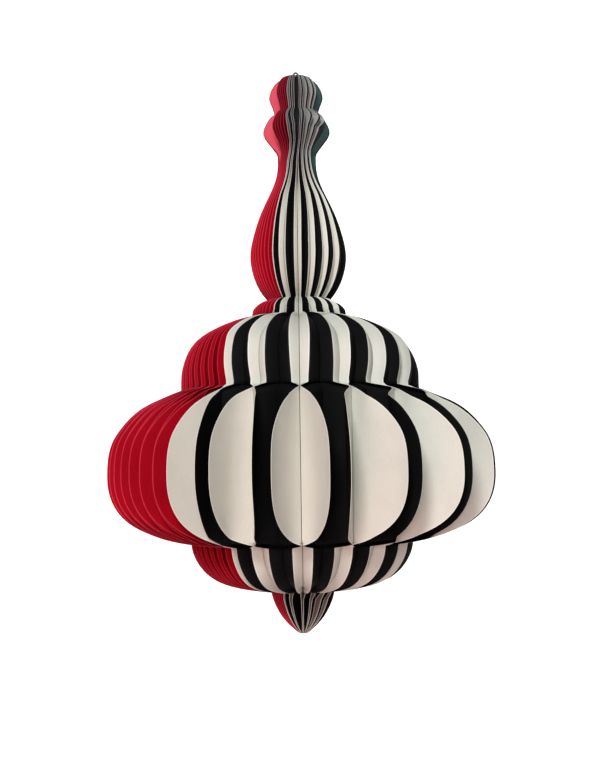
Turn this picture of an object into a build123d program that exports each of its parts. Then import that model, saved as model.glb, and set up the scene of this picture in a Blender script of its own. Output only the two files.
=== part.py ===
from build123d import *
import math
import os

# Fold-out paper lantern. It hangs from an eye on its vertical axis, with its front towards -Y.
# Every page is a flat card leaf shaped like half of the lantern's outline, standing out from the
# spine. Two half-sheets, one from each neighbouring folded sheet, are glued into each page.
# The origin is the middle of the hanging eye. Lengths are in millimetres and angles in degrees.

# Overall size. Heights along the outline are measured down from the flat top of the pages.
BELLY_RADIUS = 192.7
PAGE_HEIGHT = 558.0
EYE_ABOVE_PAGES = 1.95

# Card and spine
PAGE_THICKNESS = 0.5
PAGE_INNER_RADIUS = 6.0
STEM_RADIUS = 5.5
TOP_RADIUS = 7.5
TIP_RADIUS = 4.0

# Cover boards, which meet back to back behind the lantern, and the magnets that hold them shut
BOARD_THICKNESS = 1.2
BOARD_INNER_RADIUS = 12.0
BOARD_GAP = 0.05
MAGNET_RADIUS = 4.0
MAGNET_THICKNESS = 0.8
MAGNET_CLEARANCE = 0.05
MAGNET_PLACES = [(33, 181), (92, 295), (166, 400), (84, 484)]

# Hanging eye
EYE_HOLE_RADIUS = 1.8
EYE_OUTER_RADIUS = 3.0
EYE_THICKNESS = 1.2
SHANK_RADIUS = 1.0
SHANK_LENGTH = 8.0
SHANK_CLEARANCE = 0.02

# Opening angles of the folded sheets, from the leftmost white one round to the last black one.
FIRST_WHITE_ANGLE = -36.0
WHITE_OPENINGS = [7.0, 10.3, 11.8, 12.6, 13.3, 14.9]
BLACK_OPENINGS = [6.0, 6.9, 7.2, 6.7, 6.9, 10.9]
# The red sheets share the rest of the circle evenly, up to the cells beside the boards.
LEFT_RED_SHEETS = 23
RIGHT_RED_SHEETS = 16
BOARD_CELL_OPENING = 8.0

# Outline, top to bottom, as (radius, distance below the flat top)
UPPER_LOBE = [(TOP_RADIUS, 0), (21.5, 7.5), (27, 21), (22, 37)]
LOWER_LOBE = [(22, 37), (29.5, 45), (33.5, 56), (26.5, 68), (20, 77), (19.2, 87)]
PEAR = [(19.2, 87), (28.2, 119), (38, 140), (44.6, 160), (48.1, 181), (45.3, 199), (31, 224.5)]
COLLAR = [(31, 224.5), (41.5, 229), (47, 236), (46.5, 242)]
UPPER_TIER = [(46.5, 242), (66, 246), (85.5, 254), (108.8, 272), (117.4, 293), (118.8, 315)]
BELLY_TOP = [(118.8, 315), (137, 322), (160.5, 334), (179.5, 353), (BELLY_RADIUS, 400)]
BELLY_BOTTOM = [(BELLY_RADIUS, 400), (181.6, 435), (168.5, 447), (146, 458), (111, 466.3)]
LOWER_TIER = [(111, 466.3), (108, 479), (96.5, 496), (76, 507.7), (54, 512.6), (32, 514.5)]
TIP = [(32, 514.5), (28.7, 527), (22.6, 539), (TIP_RADIUS, PAGE_HEIGHT)]


def height(drop):
    """Z of a place on the outline, from its distance below the flat top."""
    return -EYE_ABOVE_PAGES - drop


def outline_curve(places, start, end):
    """One smooth stretch of the outline, with its two end directions."""
    Spline(*[(radius, height(drop)) for radius, drop in places], tangents=(start, end))


def leaf_plane(angle, offset=0.0):
    """Upright plane of a leaf. Its X runs out from the axis, and angle 0 points to the front."""
    turn = math.radians(angle)
    outward = Vector(math.sin(turn), -math.cos(turn), 0)
    normal = Vector(-math.cos(turn), -math.sin(turn), 0)
    return Plane(origin=normal * offset, x_dir=outward, z_dir=normal)


def make_leaf(angle, thickness, inner_radius, label, offset=0.0):
    """One upright leaf with the lantern's half outline, beyond the inner radius."""
    with BuildPart() as leaf:
        with BuildSketch(leaf_plane(angle, offset)):
            with BuildLine():
                Line((0, height(0)), (TOP_RADIUS, height(0)))
                outline_curve(UPPER_LOBE, (1, -0.2), (-0.2, -1))
                outline_curve(LOWER_LOBE, (1, -0.5), (0, -1))
                outline_curve(PEAR, (0, -1), (-1, -1.1))
                outline_curve(COLLAR, (1, -0.25), (-0.1, -1))
                outline_curve(UPPER_TIER, (1, -0.1), (0, -1))
                outline_curve(BELLY_TOP, (1, -0.3), (0, -1))
                outline_curve(BELLY_BOTTOM, (0, -1), (-1, -0.15))
                outline_curve(LOWER_TIER, (-0.05, -1), (-1, -0.05))
                outline_curve(TIP, (-0.1, -1), (-1, -0.75))
                Line((TIP_RADIUS, height(PAGE_HEIGHT)), (0, height(PAGE_HEIGHT)))
                Line((0, height(PAGE_HEIGHT)), (0, height(0)))
            make_face()
            with Locations((inner_radius / 2, height(PAGE_HEIGHT / 2))):
                Rectangle(inner_radius, PAGE_HEIGHT + 2, mode=Mode.SUBTRACT)
        extrude(amount=thickness / 2, both=True)
    leaf.part.label = label
    return leaf


def save(piece):
    export_step(piece.part, f"parts/{piece.part.label}.step")


def striped_pages():
    """Angles and names of the pages that bound the white and black sheets, left to right."""
    angle = FIRST_WHITE_ANGLE
    pages = [(angle, "red_white")]
    for white_opening, black_opening in zip(WHITE_OPENINGS, BLACK_OPENINGS):
        angle += white_opening
        pages.append((angle, "white_black"))
        angle += black_opening
        pages.append((angle, "black_white"))
    pages[-1] = (angle, "black_red")
    return pages


def red_pages(start, end, count):
    """Angles of the pages of one side's red sheets, from the stripes to the board's cell."""
    return [(start + (end - start) * step / count, "red") for step in range(1, count + 1)]


def make_pages():
    """All the pages of both sides, numbered from the front cell round to the back."""
    stripes = striped_pages()
    end = 180 - BOARD_CELL_OPENING
    left = [page for page in reversed(stripes) if page[0] < 0]
    left += red_pages(stripes[0][0], -end, LEFT_RED_SHEETS)
    right = [page for page in stripes if page[0] > 0]
    right += red_pages(stripes[-1][0], end, RIGHT_RED_SHEETS)
    for side, pages in (("left", left), ("right", right)):
        for number, (angle, colours) in enumerate(pages, start=1):
            label = f"{side}_page_{number:02d}_{colours}"
            save(make_leaf(angle, PAGE_THICKNESS, PAGE_INNER_RADIUS, label))


def make_cover(side, direction):
    """One cover board with its magnet pockets, and the magnets that sit in them."""
    angle = 180 * direction
    middle_offset = direction * (BOARD_GAP + BOARD_THICKNESS / 2)
    meeting_plane = leaf_plane(angle, direction * BOARD_GAP)
    magnet_places = [(radius, height(drop)) for radius, drop in MAGNET_PLACES]
    with BuildPart() as board:
        add(make_leaf(angle, BOARD_THICKNESS, BOARD_INNER_RADIUS, "blank", middle_offset).part)
        with BuildSketch(meeting_plane):
            with Locations(*magnet_places):
                Circle(MAGNET_RADIUS + MAGNET_CLEARANCE)
        extrude(amount=direction * MAGNET_THICKNESS, mode=Mode.SUBTRACT)
    board.part.label = f"{side}_cover_board"
    save(board)
    with BuildPart() as magnets:
        with BuildSketch(meeting_plane):
            with Locations(*magnet_places):
                Circle(MAGNET_RADIUS)
        extrude(amount=direction * MAGNET_THICKNESS)
    magnets.part.label = f"{side}_cover_magnets"
    save(magnets)


os.makedirs("parts", exist_ok=True)

make_pages()
make_cover("left", -1)
make_cover("right", 1)

# Spine stem: the rolled card stem that the sheets' folds are bound to
stem_top = -EYE_OUTER_RADIUS
stem_bottom = height(PAGE_HEIGHT)
tip_chamfer = STEM_RADIUS - TIP_RADIUS
with BuildPart() as spine_stem:
    with BuildSketch(Plane.XY.offset(stem_bottom)):
        Circle(STEM_RADIUS)
    extrude(amount=stem_top - stem_bottom)
    chamfer(spine_stem.edges().group_by(Axis.Z)[0], tip_chamfer)
    with Locations((0, 0, stem_top)):
        Hole(SHANK_RADIUS + SHANK_CLEARANCE, depth=SHANK_LENGTH)
spine_stem.part.label = "spine_stem"
save(spine_stem)

# Hanging eye: a flat steel eye on a shank that is glued into the stem
with BuildPart() as hanging_eye:
    with BuildSketch(Plane.XZ):
        Circle(EYE_OUTER_RADIUS)
        Circle(EYE_HOLE_RADIUS, mode=Mode.SUBTRACT)
    extrude(amount=EYE_THICKNESS / 2, both=True)
    with BuildSketch(Plane.XY.offset(stem_top - SHANK_LENGTH)):
        Circle(SHANK_RADIUS)
    extrude(amount=SHANK_LENGTH + (EYE_OUTER_RADIUS - EYE_HOLE_RADIUS) / 2)
hanging_eye.part.label = "hanging_eye"
save(hanging_eye)
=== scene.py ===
import math
import random

import bpy
import numpy as np
from mathutils import Matrix, Vector


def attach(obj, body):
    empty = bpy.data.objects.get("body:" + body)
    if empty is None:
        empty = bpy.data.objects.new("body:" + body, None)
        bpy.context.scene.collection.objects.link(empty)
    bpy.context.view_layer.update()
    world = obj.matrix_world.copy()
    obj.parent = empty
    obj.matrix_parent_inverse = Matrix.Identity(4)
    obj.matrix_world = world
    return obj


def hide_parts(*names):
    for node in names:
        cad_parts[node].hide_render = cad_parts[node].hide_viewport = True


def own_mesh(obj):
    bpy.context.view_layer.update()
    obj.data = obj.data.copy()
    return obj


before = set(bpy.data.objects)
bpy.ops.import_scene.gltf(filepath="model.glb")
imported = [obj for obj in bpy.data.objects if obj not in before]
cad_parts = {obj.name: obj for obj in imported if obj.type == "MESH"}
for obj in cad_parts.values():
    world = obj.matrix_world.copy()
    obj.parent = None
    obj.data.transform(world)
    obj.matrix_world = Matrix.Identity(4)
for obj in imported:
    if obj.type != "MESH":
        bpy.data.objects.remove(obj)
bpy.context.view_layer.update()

MM = 0.001
# Nothing is divided by a length or an area below these, where mesh columns fall together.
LEAST_LENGTH = 1e-9
LEAST_AREA = 1e-12
random.seed(11)

# ---------------------------------------------------------------- the CAD leaf's outline

FRONT_PAGE = "right_page_01_white_black"
# Points beyond this share of a leaf's widest radius tell its angle.
NEAR_RIM = 0.98
# Number of places at which the outline is looked at when a height or a depth is searched
OUTLINE_STEPS = 4000


def leaf_directions(angle):
    """Outward and sideways unit vectors of an upright leaf, which faces the front at angle 0."""
    turn = math.radians(angle)
    outward = Vector((math.sin(turn), -math.cos(turn), 0))
    sideways = Vector((math.cos(turn), math.sin(turn), 0))
    return outward, sideways


def node_angle(node):
    """The angle that a CAD leaf stands at, from its farthest point."""
    points = [v.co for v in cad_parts[node].data.vertices]
    rim = max(points, key=lambda p: p.x * p.x + p.y * p.y)
    outer = [p for p in points if math.hypot(p.x, p.y) > NEAR_RIM * math.hypot(rim.x, rim.y)]
    x = sum(p.x for p in outer) / len(outer)
    y = sum(p.y for p in outer) / len(outer)
    return math.degrees(math.atan2(x, -y))


def read_outline(node):
    """The leaf's outer edge as radius against height, from the top down."""
    outward, _ = leaf_directions(node_angle(node))
    reach = {}
    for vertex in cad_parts[node].data.vertices:
        z = round(vertex.co.z, 6)
        reach[z] = max(reach.get(z, 0.0), vertex.co.dot(outward))
    heights = sorted(reach, reverse=True)
    return np.array(heights), np.array([reach[z] for z in heights])


LEAF_Z, LEAF_R = read_outline(FRONT_PAGE)
TOP_Z, TIP_Z = LEAF_Z[0], LEAF_Z[-1]
BELLY_R = LEAF_R.max()
BELLY_Z = LEAF_Z[LEAF_R.argmax()]
# The sheets start where the CAD leaf does, at this distance from the axis.
INNER_R = 6.0 * MM


def outline_radius(z):
    """Radius of the outline at a height."""
    return np.interp(-z, -LEAF_Z, LEAF_R)


def crossing(radius, z_from, z_to):
    """Height where the outline passes a radius, between two heights."""
    zs = np.linspace(z_from, z_to, OUTLINE_STEPS)
    return zs[np.argmin(np.abs(outline_radius(zs) - radius))]


# ---------------------------------------------------------------- places along the height

def at_drop(drop):
    """Height of a place that lies a number of millimetres below the flat top."""
    return TOP_Z - drop * MM


# The belly meets the upper and the lower tier in a notch: its share of the belly's radius, and the two
# distances above the belly's widest place, in millimetres, that it is searched between
UPPER_NOTCH = (0.6175, 70, 100)
LOWER_NOTCH = (0.578, -60, -70)


def find_notch(radius_share, start, end):
    """Height of one of the belly's two notches."""
    return crossing(radius_share * BELLY_R, BELLY_Z + start * MM, BELLY_Z + end * MM)


UPPER_NOTCH_Z = find_notch(*UPPER_NOTCH)
LOWER_NOTCH_Z = find_notch(*LOWER_NOTCH)
UPPER_NOTCH_R = outline_radius(UPPER_NOTCH_Z)
LOWER_NOTCH_R = outline_radius(LOWER_NOTCH_Z)

# In the belly a cell's two layers part at the seam, meet their neighbours at the glue and flare from there.
SEAM_R = 0.685 * BELLY_R
GLUE_R = 0.795 * BELLY_R
SEAM_TOP_Z = crossing(SEAM_R, BELLY_Z, UPPER_NOTCH_Z)
SEAM_END_Z = crossing(SEAM_R, BELLY_Z, LOWER_NOTCH_Z)

# Mesh rows: their step, the room kept clear round the rows that have a fixed place, and those places.
# They are the other notches, below the top, and places just inside the belly, from its own notches.
ROW_STEP = 4 * MM
ROW_CLEARANCE = 0.6 * MM
OTHER_NOTCHES = (37, 224.5, 242, 514.5)
BELOW_UPPER_NOTCH = (1.2, 2.6)
ABOVE_LOWER_NOTCH = (0.8,)
# Each row looks at no less of the outline than this, above and below it.
OUTLINE_WINDOW = 0.2 * MM
# Width of the band along the rim that has the cut edge's material, which is lighter on red and white card
# as a painted highlight
CUT_EDGE = 0.7 * MM
# Rows nearer than this to one of the belly's notches belong to the tier.
ROW_TOLERANCE = 1e-6
# At the tip the rim stays outside the inner edge, and a seam stays inside the rim, by these factors.
LEAST_RIM = 1.05 * INNER_R
SEAM_LIMIT = 0.98

# Depth of the valley between a cell's two rims, against the distance below the top, in millimetres
VALLEY_DEPTH = {
    "white": [(0, 26), (66, 26), (90, 14), (118, 8), (145, 5), (172, 5), (236, 5), (262, 6.5), (314, 6.5),
              (320, 3), (460, 3), (468, 7), (513, 7), (517, 24), (558, 24)],
    "black": [(0, 4), (66, 4), (118, 6), (172, 5), (236, 5), (262, 6.5), (314, 6.5), (320, 3), (460, 3),
              (468, 7), (513, 7), (517, 16), (558, 16)],
    "red": [(0, 12), (66, 12), (118, 10), (314, 11), (320, 3), (460, 3), (468, 11), (558, 11)],
}


def smooth(low, high, value):
    """0 up to the first place, 1 from the second one on, and an even S between them."""
    t = np.clip((value - low) / (high - low), 0, 1)
    return t * t * (3 - 2 * t)


def outline_rows():
    """Heights of the mesh rows: even steps along the outline, with rows at each notch and seam end."""
    zs = np.linspace(TOP_Z, TIP_Z, 2 * OUTLINE_STEPS)
    rs = outline_radius(zs)
    length = np.concatenate([[0], np.cumsum(np.hypot(np.diff(zs), np.diff(rs)))])
    rows = np.interp(np.arange(0, length[-1], ROW_STEP), length, zs)
    corners = [UPPER_NOTCH_Z, LOWER_NOTCH_Z, SEAM_TOP_Z, SEAM_END_Z, TIP_Z]
    corners += [UPPER_NOTCH_Z - distance * MM for distance in BELOW_UPPER_NOTCH]
    corners += [LOWER_NOTCH_Z + distance * MM for distance in ABOVE_LOWER_NOTCH]
    corners += [at_drop(drop) for drop in OTHER_NOTCHES]
    for corner in corners:
        rows = rows[np.abs(rows - corner) > ROW_CLEARANCE]
    return np.array(sorted(list(rows) + corners, reverse=True))


def inside_outline(depths):
    """Radius, at each mesh row, of a line that runs a given depth inside the outline."""
    zs = np.linspace(TOP_Z, TIP_Z, OUTLINE_STEPS)
    rs = outline_radius(zs)
    line = np.empty_like(ROWS)
    for row, (z, depth) in enumerate(zip(ROWS, depths)):
        near = np.abs(zs - z) <= max(depth, OUTLINE_WINDOW)
        reach = np.sqrt(np.clip(depth ** 2 - (zs[near] - z) ** 2, 0, None))
        line[row] = np.min(rs[near] - reach)
    return np.clip(line, INNER_R, None)


ROWS = outline_rows()
DROPS = (TOP_Z - ROWS) / MM
RIM = np.clip(outline_radius(ROWS), LEAST_RIM, None)
IN_BELLY = (ROWS < UPPER_NOTCH_Z - ROW_TOLERANCE) & (ROWS > LOWER_NOTCH_Z + ROW_TOLERANCE)


def seam_line(colour):
    """Radius at which a cell's two layers come together, at each mesh row."""
    line = inside_outline(np.interp(DROPS, *zip(*VALLEY_DEPTH[colour])) * MM)
    return np.minimum(np.where(IN_BELLY, np.minimum(SEAM_R, line), line), RIM * SEAM_LIMIT)


SEAMS = {colour: seam_line(colour) for colour in VALLEY_DEPTH}
EDGE_LINE = inside_outline(np.full_like(ROWS, CUT_EDGE))

# Mesh columns: shares of the way from the inner edge to the seam, and from the seam to the cut edge's band
INNER_SHARES = np.array([0, 0.45, 0.8, 0.84, 0.9, 1.0])
OUTER_SHARES = np.array([0.12, 0.28, 0.5, 0.75, 1.0])
INNER_COUNT = len(INNER_SHARES)
SEAM_COLUMN = INNER_COUNT - 1
COLUMNS = INNER_COUNT + len(OUTER_SHARES) + 1

# ---------------------------------------------------------------- the leaves' angles

# Rim angles of the thirteen leaves beside the white and black sheets, left to right, in degrees
UPPER_LOBE = [-19, -13, -9.5, -3.4, 6.8, 12, 15.5, 24.5, 29, 38, 43, 48.5, 92]
LOBE_SHOULDER = [-20, -16.5, -10.8, -5.8, 7.5, 12, 15.8, 29.5, 33.5, 51, 56, 74, 92]
LOWER_LOBE = [-15.5, -11, -6.1, -2.3, 4.9, 8.5, 12, 19.5, 22.7, 31, 34.5, 42.5, 92]
NECK = [-29.5, -23.5, -18, -12.5, -1, 4, 13, 19.5, 26, 33, 40.5, 47, 86]
PEAR_TOP = [-34, -32.5, -26.5, -16.5, -5, 6, 15.5, 25, 33.5, 43, 51.5, 61.5, 88]
TIER_TOP = [-44, -37, -29, -18, -6, 6, 17, 30, 40, 52, 62, 76, 92]
PEAR = [-31, -30, -23, -14.5, -4.8, 4, 12, 20.5, 29.5, 38, 46, 57.5, 90]
UPPER_TIER = [-38, -33.5, -25, -16, -5, 5, 15.5, 24.8, 34.5, 46, 57, 71, 90]
UPPER_TIER_END = [-34.5, -30.5, -22, -14.5, -3.7, 3.8, 14.5, 22, 30.5, 40.5, 50, 60, 80]
BELLY_RIM = [-37.3, -28.1, -24, -12.2, -7.5, 7.3, 12.5, 28.5, 33, 49.5, 53.7, 73, 80]
LOWER_TIER = [-36, -33, -24.7, -15.8, -4.7, 5.2, 15.2, 24.8, 34.3, 44.7, 55.3, 66.4, 85]
TIP = [-38.5, -35.5, -26, -20.5, -3.5, 1, 12, 17, 23, 36, 42.5, 55, 85]
# Distances below the top, in millimetres, and the rim angles there
LOBES_END = 70
LEVELS = [
    (0, UPPER_LOBE), (37, UPPER_LOBE), (44, LOBE_SHOULDER), (57, LOWER_LOBE), (LOBES_END, LOWER_LOBE),
    (88, NECK), (122, PEAR_TOP), (172, PEAR), (241, PEAR), (246, TIER_TOP), (275, UPPER_TIER),
    (312, UPPER_TIER_END), (467, LOWER_TIER), (514, LOWER_TIER), (522, TIP), (558, TIP),
]
# In the finial's lobes one red cell on the left gapes: (CAD angle, angle there), and the leaf at its left
LOBE_GAP = [(-71, -92), (-66, -45)]
GAPING_PAGE = "left_page_11"
# Angles on either side beyond which the belly's red rims stay where the CAD has them
BELLY_LEAN = (-60, 110)
# Every leaf but the two boards is off its place by up to this angle, either way.
WOBBLE = 0.25
# In the tiers the two sheets of a red leaf stand this angle apart. They open between the first two
# distances below the top, in millimetres, and close between the other two.
RED_SPREAD = 2.9
SPREAD_OPENS = (238, 256)
SPREAD_CLOSES = (508, 530)
# Distance from each of the belly's notches over which the seams turn to the puffed rims' middle
NOTCH_BLEND = 8 * MM
# In the belly the sheets curve to their neighbours and then to their rims by these powers.
JOIN_CURVE = 1.4
FLARE_CURVE = 1.5


def cell_pages():
    """Every leaf from the left cover round the front to the right cover, in order of angle."""
    pages = []
    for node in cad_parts:
        if "_page_" in node:
            body = "_".join(node.split("_")[:3])
            pages.append({"node": node, "body": body, "angle": node_angle(node)})
    pages.sort(key=lambda page: page["angle"])
    left = {"node": None, "body": "left_cover", "angle": -180.0}
    right = {"node": None, "body": "right_cover", "angle": 180.0}
    pages = [left] + pages + [right]
    for page in pages:
        words = page["node"].split("_") if page["node"] else ["red"]
        colours = [word for word in words if word in VALLEY_DEPTH]
        page["left_colour"], page["right_colour"] = colours[0], colours[-1]
        page["striped"] = set(colours) != {"red"}
    return pages


PAGES = cell_pages()


def set_angles():
    """Each leaf's angle at every level and at the belly's rim, from the striped leaves' angles there."""
    striped = [page["angle"] for page in PAGES if page["striped"]]
    for page in PAGES:
        wobble = random.uniform(-WOBBLE, WOBBLE) if page["node"] else 0.0
        page["levels"] = []
        for drop, angles in LEVELS:
            gap = LOBE_GAP if drop <= LOBES_END else []
            known = [-180] + [cad for cad, _ in gap] + striped + [180]
            there = [-180] + [new for _, new in gap] + angles + [180]
            page["levels"].append(np.interp(page["angle"], known, there) + wobble)
        lean_start, lean_end = BELLY_LEAN
        known = [-180, lean_start] + striped + [lean_end, 180]
        there = [-180, lean_start] + BELLY_RIM + [lean_end, 180]
        page["belly"] = np.interp(page["angle"], known, there) + wobble
        page["spread"] = 0.0 if page["striped"] or not page["node"] else RED_SPREAD


set_angles()


def level_angle(page):
    """A leaf's own angle at each mesh row, leaving out the belly's puffed rims."""
    return np.interp(DROPS, [drop for drop, _ in LEVELS], page["levels"])


def seam_angle(page, mate):
    """Angle at each mesh row of the seam between two leaves' sheets, which are one folded sheet."""
    tiers = (level_angle(page) + level_angle(mate)) / 2
    puffed_rims = (page["belly"] + mate["belly"]) / 2
    below_upper = smooth(UPPER_NOTCH_Z, UPPER_NOTCH_Z - NOTCH_BLEND, ROWS)
    above_lower = smooth(LOWER_NOTCH_Z, LOWER_NOTCH_Z + NOTCH_BLEND, ROWS)
    puffed = below_upper * above_lower
    return tiers * (1 - puffed) + puffed_rims * puffed


def polar(r, angle, z):
    """Points at a radius, an angle and a height."""
    turn = np.radians(angle)
    return np.stack([r * np.sin(turn), -r * np.cos(turn), z], axis=-1)


def sheet_angles(page, side, r, seam_r):
    """Angles of one half-sheet: its rim's, its seam's, and its own at each point.

    The weight is 1 where the sheet lies in its cell's seam and 0 where it lies on its leaf."""
    mate = PAGES[PAGES.index(page) + side]
    spread = side * page["spread"] / 2 * smooth(*SPREAD_OPENS, DROPS) * (1 - smooth(*SPREAD_CLOSES, DROPS))
    own = (level_angle(page) + spread)[:, None]
    seam = seam_angle(page, mate)[:, None]

    # On the belly's top and bottom the rims close from the tier's width to a point at the belly's seam.
    open_rim = 1 - smooth(UPPER_NOTCH_R, SEAM_R, RIM)
    open_rim = np.where(ROWS < BELLY_Z, 1 - smooth(LOWER_NOTCH_R, SEAM_R, RIM), open_rim)[:, None]
    share = np.clip((r - seam_r[:, None]) / (RIM - seam_r)[:, None], 0, 1)
    parted = open_rim * share * IN_BELLY[:, None]

    # From the belly's seam the layers part, join their neighbours and flare to the puffed rims.
    flare = np.clip((r - GLUE_R) / (BELLY_R - GLUE_R), 0, 1)
    rim = own + (page["belly"] - own) * (1 - (1 - flare) ** FLARE_CURVE)
    joined = np.clip((r - SEAM_R) / (GLUE_R - SEAM_R), 0, 1)
    joined = 1 - (1 - joined) ** JOIN_CURVE
    beyond = (r > SEAM_R) & IN_BELLY[:, None]
    angle = np.where(beyond, seam + (rim - seam) * joined, seam + (own - seam) * parted)
    weight = np.where(beyond, 1 - joined, 1 - parted)
    return own, seam, angle, weight


# ---------------------------------------------------------------- the sheets' shapes

SHEET = 0.3 * MM
# Half the distance between the middles of two sheets that lie on each other
HALF_STEP = 0.55 * SHEET
# A tier's layer bulges by up to a quarter of this share of its width, from the pear down.
PUFF = 0.35
PUFF_STARTS = (110, 150)
# Gap between the layers of a white or black cell at its seam. It opens from a share of the seam's radius,
# and from the pear down.
CREASE = 0.5 * MM
CREASE_INNER = 0.4
CREASE_STARTS = (125, 160)
# Distance from the plane where the cover boards meet to the sheet that lies on a board's inner face
BOARD_DEPTH = 1.3 * MM

# In the belly a black cell's layers part early. These are its columns up to there, the share of the way
# from there to the seam of the next column, and how far that one lies on its neighbour already.
BLACK_SEAM_R = 0.62 * BELLY_R
BLACK_SHARES = np.array([0, 0.45, 0.8, 1.0])
BLACK_INNER = len(BLACK_SHARES)
BLACK_NEXT = 0.6
BLACK_NEXT_FOLLOW = 0.7

# Fold strips: thickness, radius where they start and end, and how far inside the rim they stay at least
STRIP = 0.48 * MM
STRIP_INNER = 8 * MM
STRIP_OUTER = 13 * MM
STRIP_MARGIN = 1 * MM


def side_colour(page, side):
    """Colour of the sheet on the left (-1) or right (+1) of a leaf."""
    return page["right_colour"] if side > 0 else page["left_colour"]


def grid_radii(colour):
    """Radius of each point of a sheet's grid."""
    seam_r = SEAMS[colour]
    edge = np.maximum(EDGE_LINE, seam_r)
    r = np.empty((len(ROWS), COLUMNS))
    r[:, :INNER_COUNT] = INNER_R + (seam_r - INNER_R)[:, None] * INNER_SHARES
    r[:, INNER_COUNT:-1] = seam_r[:, None] + (edge - seam_r)[:, None] * OUTER_SHARES
    r[:, -1] = RIM
    if colour == "black":
        early = np.minimum(seam_r, BLACK_SEAM_R)
        r[IN_BELLY, :BLACK_INNER] = (INNER_R + (early - INNER_R)[:, None] * BLACK_SHARES)[IN_BELLY]
        r[IN_BELLY, BLACK_INNER] = (early * (1 - BLACK_NEXT) + seam_r * BLACK_NEXT)[IN_BELLY]
    return r


def lie_on_neighbour(page, side, r, seam_r, angle, weight):
    """In the belly a black cell's layers lie on the backs of its neighbours, once they have parted.

    The negative weight puts them one sheet beyond their neighbours."""
    _, _, lying, neighbour_weight = sheet_angles(page, -side, r, seam_r)
    follow = np.ones(COLUMNS)
    follow[:BLACK_INNER] = 0
    follow[BLACK_INNER] = BLACK_NEXT_FOLLOW
    angle = np.where(IN_BELLY[:, None], angle * (1 - follow) + lying * follow, angle)
    weight = np.where(IN_BELLY[:, None] & (follow > 0), -neighbour_weight, weight)
    return angle, weight


def tier_layer(share, seam_points, rim_points, puff):
    """Points of a layer that runs straight from its seam to its rim, a little puffed."""
    width = np.linalg.norm(rim_points - seam_points, axis=2, keepdims=True)
    outward = (seam_points + rim_points) * [1, 1, 0]
    outward = outward / np.maximum(np.linalg.norm(outward, axis=2, keepdims=True), LEAST_LENGTH)
    bulge = (share * (1 - share) * puff)[:, :, None] * width
    return seam_points + (rim_points - seam_points) * share[:, :, None] + outward * bulge


def layer_shift(page, side, colour, seam_share, angle, weight):
    """How far each point moves sideways, so that sheets lie beside each other."""
    turn = np.radians(angle)
    sideways = np.stack([np.cos(turn), np.sin(turn), np.zeros_like(turn)], axis=2)
    crease = CREASE / 2 * smooth(CREASE_INNER, 1, seam_share) * (colour != "red")
    crease = crease * smooth(*CREASE_STARTS, DROPS)[:, None]
    board = 0 if page["node"] else BOARD_DEPTH
    shift = side * ((1 - 2 * weight) * HALF_STEP + board * (1 - weight) - crease * weight)
    return sideways * shift[:, :, None]


def sheet_grid(page, side):
    """Points of one half-sheet, left (-1) or right (+1) of its leaf, as rows and columns."""
    colour = side_colour(page, side)
    seam_r = SEAMS[colour]
    r = grid_radii(colour)
    own, seam, angle, weight = sheet_angles(page, side, r, seam_r)
    if colour == "black":
        angle, weight = lie_on_neighbour(page, side, r, seam_r, angle, weight)
    points = polar(r, angle, np.repeat(ROWS[:, None], COLUMNS, axis=1))

    # Outside the belly each layer runs from its seam to its rim.
    tier = ~IN_BELLY
    share = np.clip((r - seam_r[:, None]) / (RIM - seam_r)[:, None], 0, 1)[tier, INNER_COUNT:]
    seam_points = polar(seam_r, seam[:, 0], ROWS)[tier][:, None]
    rim_points = polar(RIM, own[:, 0], ROWS)[tier][:, None]
    puff = (PUFF * smooth(*PUFF_STARTS, DROPS))[tier, None]
    points[tier, INNER_COUNT:] = tier_layer(share, seam_points, rim_points, puff)
    weight[tier, INNER_COUNT:] = 1 - share
    return points + layer_shift(page, side, colour, r / seam_r[:, None], angle, weight)


def sheet_topology():
    """Faces of a closed sheet: the front grid, the back grid and the cut edge that joins them."""
    index = np.arange(len(ROWS) * COLUMNS).reshape(len(ROWS), COLUMNS)
    count = index.size
    corners = [index[:-1, :-1], index[1:, :-1], index[1:, 1:], index[:-1, 1:]]
    front = np.stack(corners, axis=-1).reshape(-1, 4)
    # The rim's last column of faces takes the cut edge's material, which paints a highlight on red and
    # white card.
    on_edge = np.tile(np.arange(COLUMNS - 1) == COLUMNS - 2, len(ROWS) - 1)
    ring = np.concatenate([index[:, 0], index[-1, 1:], index[-2::-1, -1], index[0, -2:0:-1]])
    after = np.roll(ring, -1)
    band = np.stack([after, ring, ring + count, after + count], axis=1)
    faces = np.concatenate([front, front[:, ::-1] + count, band])
    materials = np.concatenate([on_edge, on_edge, np.ones(len(band), bool)]).astype(int)
    return faces.tolist(), materials.tolist(), len(band)


FACES, MATERIALS, BAND_COUNT = sheet_topology()


def surface_normals(points):
    """Unit normals of a grid of points."""
    normal = np.cross(np.gradient(points, axis=1), np.gradient(points, axis=0))
    return normal / np.maximum(np.linalg.norm(normal, axis=2, keepdims=True), LEAST_AREA)


def sheet_mesh(name, page, side):
    """A closed thin card sheet: two faces a card's thickness apart, and the cut edge round them."""
    points = sheet_grid(page, side)
    inner = surface_normals(points[:, :INNER_COUNT])
    outer = surface_normals(points[:, SEAM_COLUMN:])
    lift = np.concatenate([inner, outer[:, 1:]], axis=1) * SHEET / 2
    corners = np.concatenate([(points + lift).reshape(-1, 3), (points - lift).reshape(-1, 3)])
    mesh = bpy.data.meshes.new(name)
    mesh.from_pydata(corners.tolist(), [], FACES)
    mesh.polygons.foreach_set("use_smooth", [True] * (len(FACES) - BAND_COUNT) + [False] * BAND_COUNT)
    mesh.polygons.foreach_set("material_index", MATERIALS)
    mesh.update()
    for edge in mesh.edges:
        if all(vertex % COLUMNS == SEAM_COLUMN for vertex in edge.vertices):
            edge.use_edge_sharp = True
    return mesh
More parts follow.
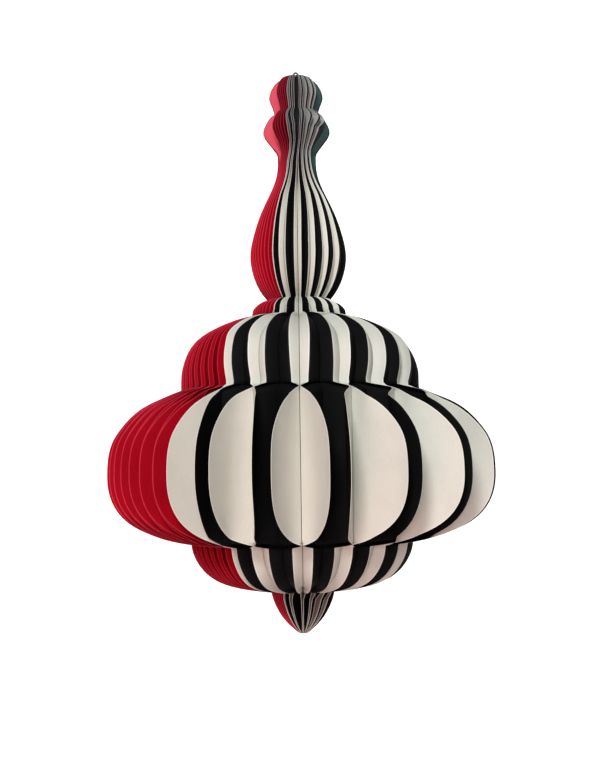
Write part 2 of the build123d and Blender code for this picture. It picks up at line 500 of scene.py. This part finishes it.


# ---------------------------------------------------------------- materials

# Where the finial's painted shading and the tip's painted shade start and where they are full, in
# millimetres below the top
FINIAL_PAINTED_SHADING_FADE = (112, 70)
TIP_PAINTED_SHADE_FADE = (512, 520)

# Card: noise scales, each noise's weight in the tone, the part of their sum that the two tones span, and
# the strength and depth of the paper's tooth
CLOUD_SCALE = 26
FIBRE_SCALE = 900
FIBRE_STRETCH = 0.35
FIBRE_WEIGHT = 0.45
CLOUD_WEIGHT = 0.55
TONE_SPAN = (0.36, 0.64)
TOOTH_STRENGTH = 0.22
TOOTH_DEPTH = 0.0002

# Metal: the scratches' noise scale, and how far they change the roughness either way
SCRATCH_SCALE = 700
SCRATCH_CHANGE = 0.3


def node_material(name):
    """A new material, with its nodes, its links and its shader."""
    material = bpy.data.materials.new(name)
    material.use_nodes = True
    nodes = material.node_tree.nodes
    return material, nodes, material.node_tree.links, nodes["Principled BSDF"]


def noise(nodes, scale, detail):
    """A noise texture."""
    texture = nodes.new("ShaderNodeTexNoise")
    texture.inputs["Scale"].default_value = scale
    texture.inputs["Detail"].default_value = detail
    return texture


def card_mottling(nodes, links, coordinates, dark, light):
    """The card's two tones, mixed by a soft cloud and upright fibres. Returns the colour and the fibres."""
    cloud = noise(nodes, CLOUD_SCALE, 5)
    fibre = noise(nodes, FIBRE_SCALE, 3)
    links.new(coordinates, cloud.inputs["Vector"])
    stretch = nodes.new("ShaderNodeMapping")
    stretch.inputs["Scale"].default_value = (1, 1, FIBRE_STRETCH)
    links.new(coordinates, stretch.inputs["Vector"])
    links.new(stretch.outputs["Vector"], fibre.inputs["Vector"])
    blend = nodes.new("ShaderNodeMath")
    blend.operation = "MULTIPLY_ADD"
    blend.inputs[1].default_value = FIBRE_WEIGHT
    links.new(fibre.outputs["Fac"], blend.inputs[0])
    weighted_cloud = nodes.new("ShaderNodeMath")
    weighted_cloud.operation = "MULTIPLY"
    weighted_cloud.inputs[1].default_value = CLOUD_WEIGHT
    links.new(cloud.outputs["Fac"], weighted_cloud.inputs[0])
    links.new(weighted_cloud.outputs[0], blend.inputs[2])
    ramp = nodes.new("ShaderNodeValToRGB")
    for element, position, tone in zip(ramp.color_ramp.elements, TONE_SPAN, (dark, light)):
        element.position = position
        element.color = tone
    links.new(blend.outputs[0], ramp.inputs["Fac"])
    return ramp.outputs["Color"], fibre.outputs["Fac"]


def fade_to_painted_shading(nodes, links, colour, z, tone, fade):
    """The colour, changed to a painted shade or painted light tone between two distances below the top."""
    start, end = fade
    share = nodes.new("ShaderNodeMapRange")
    share.inputs["From Min"].default_value = at_drop(start)
    share.inputs["From Max"].default_value = at_drop(end)
    links.new(z, share.inputs["Value"])
    mix = nodes.new("ShaderNodeMixRGB")
    mix.inputs["Color2"].default_value = tone
    links.new(share.outputs["Result"], mix.inputs["Fac"])
    links.new(colour, mix.inputs["Color1"])
    return mix.outputs["Color"]


def card_material(name, dark, light, roughness, specular, finial=None, tip=None):
    """Uncoated card: fine fibre mottling, a soft cloudy tone and a shallow paper tooth.

    The finial can fade to a painted shading tone and the tip to a painted shade tone."""
    material, nodes, links, shader = node_material(name)
    coordinates = nodes.new("ShaderNodeTexCoord").outputs["Object"]
    colour, fibre = card_mottling(nodes, links, coordinates, dark, light)
    place = nodes.new("ShaderNodeSeparateXYZ")
    links.new(coordinates, place.inputs["Vector"])
    # The finial and the tip fade to tones that paint shade on them, and paint light on black card in the
    # finial.
    for tone, fade in ((finial, FINIAL_PAINTED_SHADING_FADE), (tip, TIP_PAINTED_SHADE_FADE)):
        if tone:
            colour = fade_to_painted_shading(nodes, links, colour, place.outputs["Z"], tone, fade)
    links.new(colour, shader.inputs["Base Color"])
    bump = nodes.new("ShaderNodeBump")
    bump.inputs["Strength"].default_value = TOOTH_STRENGTH
    bump.inputs["Distance"].default_value = TOOTH_DEPTH
    links.new(fibre, bump.inputs["Height"])
    links.new(bump.outputs["Normal"], shader.inputs["Normal"])
    shader.inputs["Roughness"].default_value = roughness
    shader.inputs["Specular IOR Level"].default_value = specular
    return material


def metal_material(name, colour, roughness, metallic=1.0, specular=0.5):
    """Metal with fine scratches in its roughness."""
    material, nodes, links, shader = node_material(name)
    scratch = noise(nodes, SCRATCH_SCALE, 4)
    ramp = nodes.new("ShaderNodeValToRGB")
    for element, change in zip(ramp.color_ramp.elements, (1 - SCRATCH_CHANGE, 1 + SCRATCH_CHANGE)):
        element.color = (roughness * change,) * 3 + (1,)
    links.new(scratch.outputs["Fac"], ramp.inputs["Fac"])
    links.new(ramp.outputs["Color"], shader.inputs["Roughness"])
    shader.inputs["Base Color"].default_value = colour
    shader.inputs["Metallic"].default_value = metallic
    shader.inputs["Specular IOR Level"].default_value = specular
    return material


# Dark tone, light tone, roughness and specular level, and then the finial's painted shading tone and the
# tip's painted shade tone
RED = ((0.32, 0.0006, 0.008, 1), (0.38, 0.0015, 0.013, 1), 0.75, 0.07)
WHITE = ((0.63, 0.63, 0.58, 1), (0.69, 0.69, 0.64, 1), 0.85, 0.2)
BLACK = ((0.0025, 0.0025, 0.003, 1), (0.0045, 0.0045, 0.0055, 1), 0.8, 0.1)
# Cut edges: the red and white ones are lighter than their faces as a painted highlight, and the black one
# stays dark.
RED_EDGE_PAINTED_HIGHLIGHT = ((0.55, 0.016, 0.042, 1), (0.64, 0.03, 0.065, 1), 0.85, 0.2)
WHITE_EDGE_PAINTED_HIGHLIGHT = ((0.78, 0.78, 0.73, 1), (0.84, 0.84, 0.79, 1), 0.9, 0.2)
BLACK_EDGE = ((0.008, 0.008, 0.009, 1), (0.014, 0.014, 0.016, 1), 0.85, 0.12)
# The finial tones are painted shade on white and red card and painted light on black card. The tip tones
# are painted shade, pinkish on white.
CARD = {
    "red": card_material("red_card", *RED, (0.17, 0.001, 0.007, 1), (0.18, 0.001, 0.005, 1)),
    "white": card_material("white_card", *WHITE, (0.36, 0.36, 0.36, 1), (0.22, 0.17, 0.17, 1)),
    "black": card_material("black_card", *BLACK, (0.022, 0.021, 0.025, 1)),
    # Painted light and a painted sheen on the red sheet that shows flat in the lobes, and a painted teal
    # sheen reflection on the black sheet there.
    "painted_light_sheen_red": card_material("red_card_painted_light_sheen_finial", *RED, (0.68, 0.09, 0.13, 1)),
    "painted_sheen_black": card_material("black_card_painted_sheen_finial", *BLACK, (0.06, 0.13, 0.13, 1)),
}
# The red and white cut edges carry a painted highlight, with painted shade in the finial.
EDGE = {
    "red": card_material("red_card_edge_painted_highlight", *RED_EDGE_PAINTED_HIGHLIGHT, (0.30, 0.01, 0.03, 1)),
    "white": card_material("white_card_edge_painted_highlight", *WHITE_EDGE_PAINTED_HIGHLIGHT, (0.4, 0.4, 0.4, 1)),
    "black": card_material("black_card_edge", *BLACK_EDGE),
}

# ---------------------------------------------------------------- the pieces


def sheet_tone(page, side, colour):
    """The card material of a sheet. The sheets that show flat in the finial's lobes have lighter ones:
    painted light and a painted sheen on the red sheet, and a painted teal sheen reflection on the black
    one.
    """
    if side < 0 and page["left_colour"] == "black" and page["right_colour"] == "red":
        return CARD["painted_sheen_black"]
    if side > 0 and page["body"] == GAPING_PAGE:
        return CARD["painted_light_sheen_red"]
    return CARD[colour]


def make_sheet(page, side):
    """One half-sheet, which rides on its leaf's body."""
    colour = side_colour(page, side)
    side_name = "right" if side > 0 else "left"
    name = f"{page['body']}_{colour}_sheet_{side_name}"
    mesh = sheet_mesh(name, page, side)
    piece = bpy.data.objects.new(name, mesh)
    bpy.context.scene.collection.objects.link(piece)
    mesh.materials.append(sheet_tone(page, side, colour))
    mesh.materials.append(EDGE[colour])
    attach(piece, page["body"])
    if page["node"]:
        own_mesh(piece)
        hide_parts(page["node"])
    else:
        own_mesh(piece)


def make_fold_strip(page):
    """The narrow glued strip beside the spine, where a leaf's two sheets are folded. It stays flat."""
    outward, sideways = leaf_directions(page["angle"])
    wide_rows = ROWS[RIM > STRIP_OUTER + STRIP_MARGIN]
    half = STRIP / 2
    section = [(STRIP_INNER, -half), (STRIP_OUTER, -half), (STRIP_OUTER, half), (STRIP_INNER, half)]
    corners = [
        tuple(outward * r + sideways * offset + Vector((0, 0, z)))
        for z in (wide_rows[-1], wide_rows[0])
        for r, offset in section
    ]
    faces = [(3, 2, 1, 0), (4, 5, 6, 7)] + [(i, (i + 1) % 4, (i + 1) % 4 + 4, i + 4) for i in range(4)]
    name = f"{page['body']}_fold_strip"
    mesh = bpy.data.meshes.new(name)
    mesh.from_pydata(corners, [], faces)
    mesh.materials.append(CARD[page["right_colour"]])
    strip = bpy.data.objects.new(name, mesh)
    bpy.context.scene.collection.objects.link(strip)
    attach(strip, page["body"])
    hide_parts(page["node"])


def make_sheets():
    """The strip and the two sheets of every leaf. A cover board has one sheet, on its inner face."""
    for place, page in enumerate(PAGES):
        if page["node"]:
            make_fold_strip(page)
        for side in (-1, 1):
            if 0 <= place + side < len(PAGES):
                make_sheet(page, side)


def paint(node, material):
    """Give a CAD node another material."""
    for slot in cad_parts[node].material_slots:
        slot.material = material


def paint_cad_pieces():
    """The boards, the magnets, the stem and the eye are the CAD's own shapes."""
    board = card_material("cover_board", (0.34, 0.003, 0.014, 1), (0.40, 0.005, 0.020, 1), 0.7, 0.3)
    stem = card_material("stem_card", (0.30, 0.25, 0.19, 1), (0.38, 0.33, 0.26, 1), 0.9, 0.3)
    magnet = metal_material("magnet_nickel", (0.62, 0.62, 0.60, 1), 0.25)
    eye = metal_material("eye_blackened_steel", (0.012, 0.012, 0.013, 1), 0.55, metallic=0.0, specular=0.1)
    for side in ("left", "right"):
        paint(f"{side}_cover_board", board)
        paint(f"{side}_cover_magnets", magnet)
    paint("spine_stem", stem)
    paint("hanging_eye", eye)


make_sheets()
paint_cad_pieces()

# ---------------------------------------------------------------- camera, floor and light

# The camera stands a little to the right of the axis and is turned about its line of sight by the lean, in
# degrees. Its lens and sensor are in millimetres.
CAMERA_DISTANCE = 6.0 * BELLY_R
CAMERA_X = 0.0012
PICTURE_MIDDLE_Z = TOP_Z - 0.315
LENS = 53.0
SENSOR = 36.0
LEAN = 0.82


def make_camera():
    """A level camera in front of the belly. The shift brings the whole lantern into the picture."""
    data = bpy.data.cameras.new("camera")
    camera = bpy.data.objects.new("camera", data)
    bpy.context.scene.collection.objects.link(camera)
    facing_front = Matrix.Rotation(math.radians(90), 4, "X")
    roll = Matrix.Rotation(math.radians(-LEAN), 4, "Z")
    camera.matrix_world = Matrix.Translation((CAMERA_X, -CAMERA_DISTANCE, BELLY_Z)) @ facing_front @ roll
    data.lens = LENS
    data.sensor_width = SENSOR
    data.shift_y = (PICTURE_MIDDLE_Z - BELLY_Z) / CAMERA_DISTANCE * LENS / SENSOR
    bpy.context.scene.camera = camera


# The lantern hangs above the floor. The backdrop's sweep starts behind it.
FLOOR_Z = TIP_Z - 0.45
SWEEP_START = 0.8
SWEEP_RADIUS = 1.0
SWEEP_STEPS = 16
STAGE_HALF = 5.0
FLOOR_COLOUR = (0.62, 0.54, 0.52, 1)
BACKDROP_COLOUR = (0.95, 0.95, 0.95, 1)


def stage_surface(name, profile, colour):
    """A part of the stage: a profile of (y, z) places drawn out to both sides."""
    vertices = [(x, y, z) for y, z in profile for x in (-STAGE_HALF, STAGE_HALF)]
    faces = [(2 * i, 2 * i + 1, 2 * i + 3, 2 * i + 2) for i in range(len(profile) - 1)]
    mesh = bpy.data.meshes.new(name)
    mesh.from_pydata(vertices, [], faces)
    mesh.polygons.foreach_set("use_smooth", [True] * len(faces))
    surface = bpy.data.objects.new(name, mesh)
    bpy.context.scene.collection.objects.link(surface)
    material, _, _, shader = node_material(name + "_paint")
    shader.inputs["Base Color"].default_value = colour
    shader.inputs["Roughness"].default_value = 1.0
    shader.inputs["Specular IOR Level"].default_value = 0.0
    mesh.materials.append(material)


def make_stage():
    """A pale floor, and a white backdrop that sweeps up behind it."""
    stage_surface("floor", [(-STAGE_HALF, FLOOR_Z), (SWEEP_START, FLOOR_Z)], FLOOR_COLOUR)
    sweep = []
    for step in range(SWEEP_STEPS + 1):
        turn = math.pi / 2 * step / SWEEP_STEPS
        y = SWEEP_START + SWEEP_RADIUS * math.sin(turn)
        sweep.append((y, FLOOR_Z + SWEEP_RADIUS * (1 - math.cos(turn))))
    sweep.append((SWEEP_START + SWEEP_RADIUS, FLOOR_Z + STAGE_HALF))
    stage_surface("backdrop", sweep, BACKDROP_COLOUR)


def area_light(name, place, aim, size, power, colour):
    """A round light at a place, aimed at another one."""
    data = bpy.data.lights.new(name, "AREA")
    data.shape = "DISK"
    data.size = size
    data.energy = power
    data.color = colour
    light = bpy.data.objects.new(name, data)
    bpy.context.scene.collection.objects.link(light)
    light.location = place
    light.rotation_euler = (Vector(aim) - Vector(place)).to_track_quat("-Z", "Y").to_euler()


def make_lights():
    """A key light from above, a front light, a pink bounce from the floor, and light on the backdrop."""
    middle = (0, 0, BELLY_Z)
    wall = (0, SWEEP_START + SWEEP_RADIUS, BELLY_Z)
    area_light("key", (-0.4, -2.2, BELLY_Z + 1.2), middle, size=0.6, power=38, colour=(0.99, 1.0, 0.97))
    area_light("front", (0.0, -2.6, BELLY_Z + 0.5), middle, size=0.5, power=14, colour=(1.0, 0.99, 0.95))
    area_light("bounce", (-0.3, -0.9, FLOOR_Z + 0.1), middle, size=0.6, power=3, colour=(1.0, 0.42, 0.38))
    area_light("backdrop_light", (0, 0.6, BELLY_Z + 0.2), wall, size=3.0, power=40, colour=(1, 1, 1))
    world = bpy.data.worlds.new("studio")
    bpy.context.scene.world = world
    world.use_nodes = True
    background = world.node_tree.nodes["Background"]
    background.inputs["Color"].default_value = (1, 1, 1, 1)
    background.inputs["Strength"].default_value = 0.2
    bpy.context.scene.view_settings.view_transform = "Standard"


make_camera()
make_stage()
make_lights()
